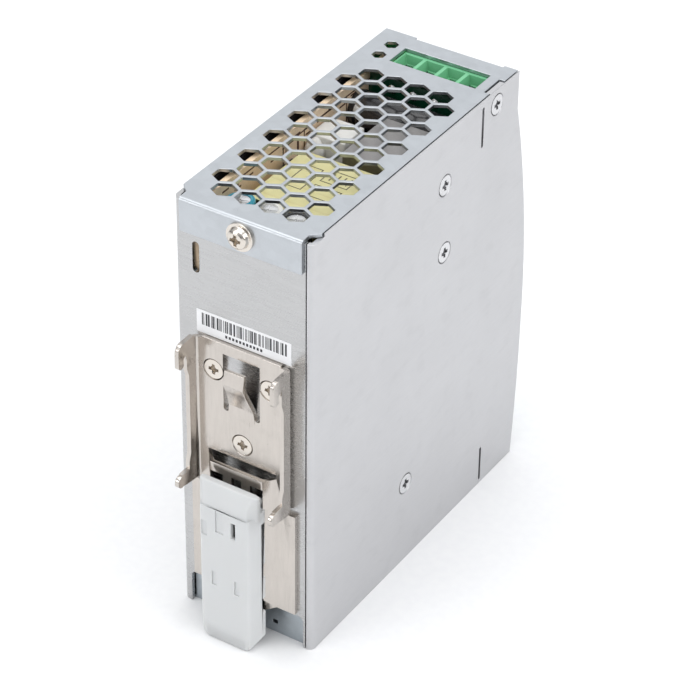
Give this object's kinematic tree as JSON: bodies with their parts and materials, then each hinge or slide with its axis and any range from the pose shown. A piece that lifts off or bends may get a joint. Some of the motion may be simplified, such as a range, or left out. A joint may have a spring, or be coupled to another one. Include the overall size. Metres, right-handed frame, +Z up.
{
  "type": "din rail power supply",
  "caption": "Slim metal-cased switching power supply that clips onto a mounting rail by a hooked rear bracket with a sprung nylon latch.",
  "frame": {"origin": "centre of the bounding box at its lowest level, where the case stands", "axes": "-Y is the terminal front, +Y the rail side, +Z up along the case's height, X across its width"},
  "size_m": [0.04, 0.114, 0.1252],
  "materials": {
    "chassis_aluminium": "brushed sheet, clear",
    "cover_aluminium": "satin sheet",
    "top_galvanised": "galvanised, smooth",
    "bottom_galvanised": "galvanised, smooth",
    "front_aluminium": "satin sheet",
    "front_film": "matte polyester film",
    "label_paper": "white film label with plain bars",
    "bracket_nickel": "nickel plated, warm grey",
    "latch_nylon": "natural nylon, slightly translucent",
    "spring_steel": "bright spring wire",
    "bracket_screw_nickel": "nickel plated",
    "flange_screw_nickel": "nickel plated",
    "side_screw_zinc": "zinc plated",
    "left_screw_zinc": "zinc plated",
    "insulation_film": "black insulating film",
    "main_phenolic": "tan phenolic board",
    "output_laminate": "dark green solder mask",
    "input_laminate": "dark green solder mask",
    "post_nylon": "natural nylon",
    "core_ferrite": "dark ferrite",
    "winding_tape": "yellow polyester tape",
    "bobbin_phenolic": "black moulding",
    "output_sink_aluminium": "mill finish",
    "input_sink_aluminium": "mill finish",
    "rectifier_epoxy": "black epoxy",
    "transistor_epoxy": "black epoxy",
    "device_screw_zinc": "zinc plated",
    "wrap_tape": "yellow polyester tape",
    "bulk_sleeve": "dark blue sleeve",
    "output_sleeve": "black sleeve",
    "rear_sleeve": "teal sleeve with a silver top",
    "rear_phenolic": "tan phenolic board",
    "choke_ferrite": "dark coated ferrite",
    "choke_copper": "enamelled copper",
    "output_choke_powder": "yellow coated iron powder",
    "output_choke_copper": "enamelled copper",
    "film_box": "white moulded box",
    "bridge_epoxy": "black epoxy",
    "fuse_ceramic": "white ceramic",
    "dc_terminal_plastic": "green polyamide",
    "dc_bar_tin": "tinned copper",
    "dc_screw_1_zinc": "zinc plated",
    "dc_screw_2_zinc": "zinc plated",
    "dc_screw_3_zinc": "zinc plated",
    "dc_screw_4_zinc": "zinc plated",
    "dc_clamp_1_nickel": "nickel plated cage",
    "dc_clamp_2_nickel": "nickel plated cage",
    "dc_clamp_3_nickel": "nickel plated cage",
    "dc_clamp_4_nickel": "nickel plated cage",
    "ac_terminal_plastic": "green polyamide",
    "ac_bar_tin": "tinned copper",
    "ac_screw_1_zinc": "zinc plated",
    "ac_screw_2_zinc": "zinc plated",
    "ac_screw_3_zinc": "zinc plated",
    "ac_clamp_1_nickel": "nickel plated cage",
    "ac_clamp_2_nickel": "nickel plated cage",
    "ac_clamp_3_nickel": "nickel plated cage",
    "led_lens": "green lens",
    "trimmer_plastic": "blue body",
    "trimmer_rotor_plastic": "off-white rotor"
  },
  "bodies": {
    "case": {"chassis": "chassis_aluminium", "side_cover": "cover_aluminium", "top_cover": "top_galvanised", "bottom_cover": "bottom_galvanised", "front_panel": "front_aluminium", "front_label": "front_film", "code_label": "label_paper", "din_bracket": "bracket_nickel", "latch_spring": "spring_steel", "bracket_screws": "bracket_screw_nickel", "flange_screw": "flange_screw_nickel", "side_screws": "side_screw_zinc", "left_screws": "left_screw_zinc", "insulation_sheet": "insulation_film", "main_board": "main_phenolic", "output_board": "output_laminate", "input_board": "input_laminate", "board_posts": "post_nylon", "transformer_core": "core_ferrite", "transformer_winding": "winding_tape", "transformer_bobbin": "bobbin_phenolic", "output_heatsink": "output_sink_aluminium", "input_heatsink": "input_sink_aluminium", "output_rectifiers": "rectifier_epoxy", "switch_transistor": "transistor_epoxy", "device_screws": "device_screw_zinc", "transformer_tape": "wrap_tape", "bulk_capacitor": "bulk_sleeve", "output_capacitors": "output_sleeve", "rear_capacitors": "rear_sleeve", "rear_board": "rear_phenolic", "choke_core": "choke_ferrite", "choke_winding": "choke_copper", "output_choke_core": "output_choke_powder", "output_choke_coil": "output_choke_copper", "film_capacitors": "film_box", "bridge_rectifier": "bridge_epoxy", "fuse": "fuse_ceramic", "dc_terminal": "dc_terminal_plastic", "dc_busbars": "dc_bar_tin", "ac_terminal": "ac_terminal_plastic", "ac_busbars": "ac_bar_tin", "led": "led_lens", "trimmer_body": "trimmer_plastic"},
    "latch": {"din_latch": "latch_nylon"},
    "trimmer_rotor": {"trimmer_rotor": "trimmer_rotor_plastic"},
    "dc_screw_1": {"dc_screw_1": "dc_screw_1_zinc"},
    "dc_clamp_1": {"dc_clamp_1": "dc_clamp_1_nickel"},
    "dc_screw_2": {"dc_screw_2": "dc_screw_2_zinc"},
    "dc_clamp_2": {"dc_clamp_2": "dc_clamp_2_nickel"},
    "dc_screw_3": {"dc_screw_3": "dc_screw_3_zinc"},
    "dc_clamp_3": {"dc_clamp_3": "dc_clamp_3_nickel"},
    "dc_screw_4": {"dc_screw_4": "dc_screw_4_zinc"},
    "dc_clamp_4": {"dc_clamp_4": "dc_clamp_4_nickel"},
    "ac_screw_1": {"ac_screw_1": "ac_screw_1_zinc"},
    "ac_clamp_1": {"ac_clamp_1": "ac_clamp_1_nickel"},
    "ac_screw_2": {"ac_screw_2": "ac_screw_2_zinc"},
    "ac_clamp_2": {"ac_clamp_2": "ac_clamp_2_nickel"},
    "ac_screw_3": {"ac_screw_3": "ac_screw_3_zinc"},
    "ac_clamp_3": {"ac_clamp_3": "ac_clamp_3_nickel"}
  },
  "joints": [
    {"name": "latch_slide", "type": "slide", "parent": "case", "child": "latch", "axis": [0, 0, -1], "range_m": [0, 0.005], "stiffness_N_per_m": 600, "springref_m": -0.004, "deforming": ["latch_spring"]},
    {"name": "trimmer_turn", "type": "hinge", "parent": "case", "child": "trimmer_rotor", "pos_m": [0.0136, -0.03993, 0.1088], "axis": [0, -1, 0], "range_deg": [-135, 135]},
    {"name": "dc_screw_1_turn", "type": "hinge", "parent": "case", "child": "dc_screw_1", "pos_m": [-0.01192, -0.04423, 0.117], "axis": [0, 1, 0], "range_deg": [0, 1800]},
    {"name": "dc_clamp_1_rise", "type": "slide", "parent": "case", "child": "dc_clamp_1", "axis": [0, -1, 0], "range_m": [0, 0.0025]},
    {"name": "dc_screw_2_turn", "type": "hinge", "parent": "case", "child": "dc_screw_2", "pos_m": [-0.00558, -0.04423, 0.117], "axis": [0, 1, 0], "range_deg": [0, 1800]},
    {"name": "dc_clamp_2_rise", "type": "slide", "parent": "case", "child": "dc_clamp_2", "axis": [0, -1, 0], "range_m": [0, 0.0025]},
    {"name": "dc_screw_3_turn", "type": "hinge", "parent": "case", "child": "dc_screw_3", "pos_m": [0.00077, -0.04423, 0.117], "axis": [0, 1, 0], "range_deg": [0, 1800]},
    {"name": "dc_clamp_3_rise", "type": "slide", "parent": "case", "child": "dc_clamp_3", "axis": [0, -1, 0], "range_m": [0, 0.0025]},
    {"name": "dc_screw_4_turn", "type": "hinge", "parent": "case", "child": "dc_screw_4", "pos_m": [0.00713, -0.04423, 0.117], "axis": [0, 1, 0], "range_deg": [0, 1800]},
    {"name": "dc_clamp_4_rise", "type": "slide", "parent": "case", "child": "dc_clamp_4", "axis": [0, -1, 0], "range_m": [0, 0.0025]},
    {"name": "ac_screw_1_turn", "type": "hinge", "parent": "case", "child": "ac_screw_1", "pos_m": [-0.00762, -0.05003, 0.0106], "axis": [0, 1, 0], "range_deg": [0, 1800]},
    {"name": "ac_clamp_1_rise", "type": "slide", "parent": "case", "child": "ac_clamp_1", "axis": [0, -1, 0], "range_m": [0, 0.0025]},
    {"name": "ac_screw_2_turn", "type": "hinge", "parent": "case", "child": "ac_screw_2", "pos_m": [0, -0.05003, 0.0106], "axis": [0, 1, 0], "range_deg": [0, 1800]},
    {"name": "ac_clamp_2_rise", "type": "slide", "parent": "case", "child": "ac_clamp_2", "axis": [0, -1, 0], "range_m": [0, 0.0025]},
    {"name": "ac_screw_3_turn", "type": "hinge", "parent": "case", "child": "ac_screw_3", "pos_m": [0.00762, -0.05003, 0.0106], "axis": [0, 1, 0], "range_deg": [0, 1800]},
    {"name": "ac_clamp_3_rise", "type": "slide", "parent": "case", "child": "ac_clamp_3", "axis": [0, -1, 0], "range_m": [0, 0.0025]}
  ],
  "couplings": [
    {"joint": "dc_screw_1_turn", "follows": "dc_clamp_1_rise", "rad_per_m": 12566},
    {"joint": "dc_screw_2_turn", "follows": "dc_clamp_2_rise", "rad_per_m": 12566},
    {"joint": "dc_screw_3_turn", "follows": "dc_clamp_3_rise", "rad_per_m": 12566},
    {"joint": "dc_screw_4_turn", "follows": "dc_clamp_4_rise", "rad_per_m": 12566},
    {"joint": "ac_screw_1_turn", "follows": "ac_clamp_1_rise", "rad_per_m": 12566},
    {"joint": "ac_screw_2_turn", "follows": "ac_clamp_2_rise", "rad_per_m": 12566},
    {"joint": "ac_screw_3_turn", "follows": "ac_clamp_3_rise", "rad_per_m": 12566}
  ]
}
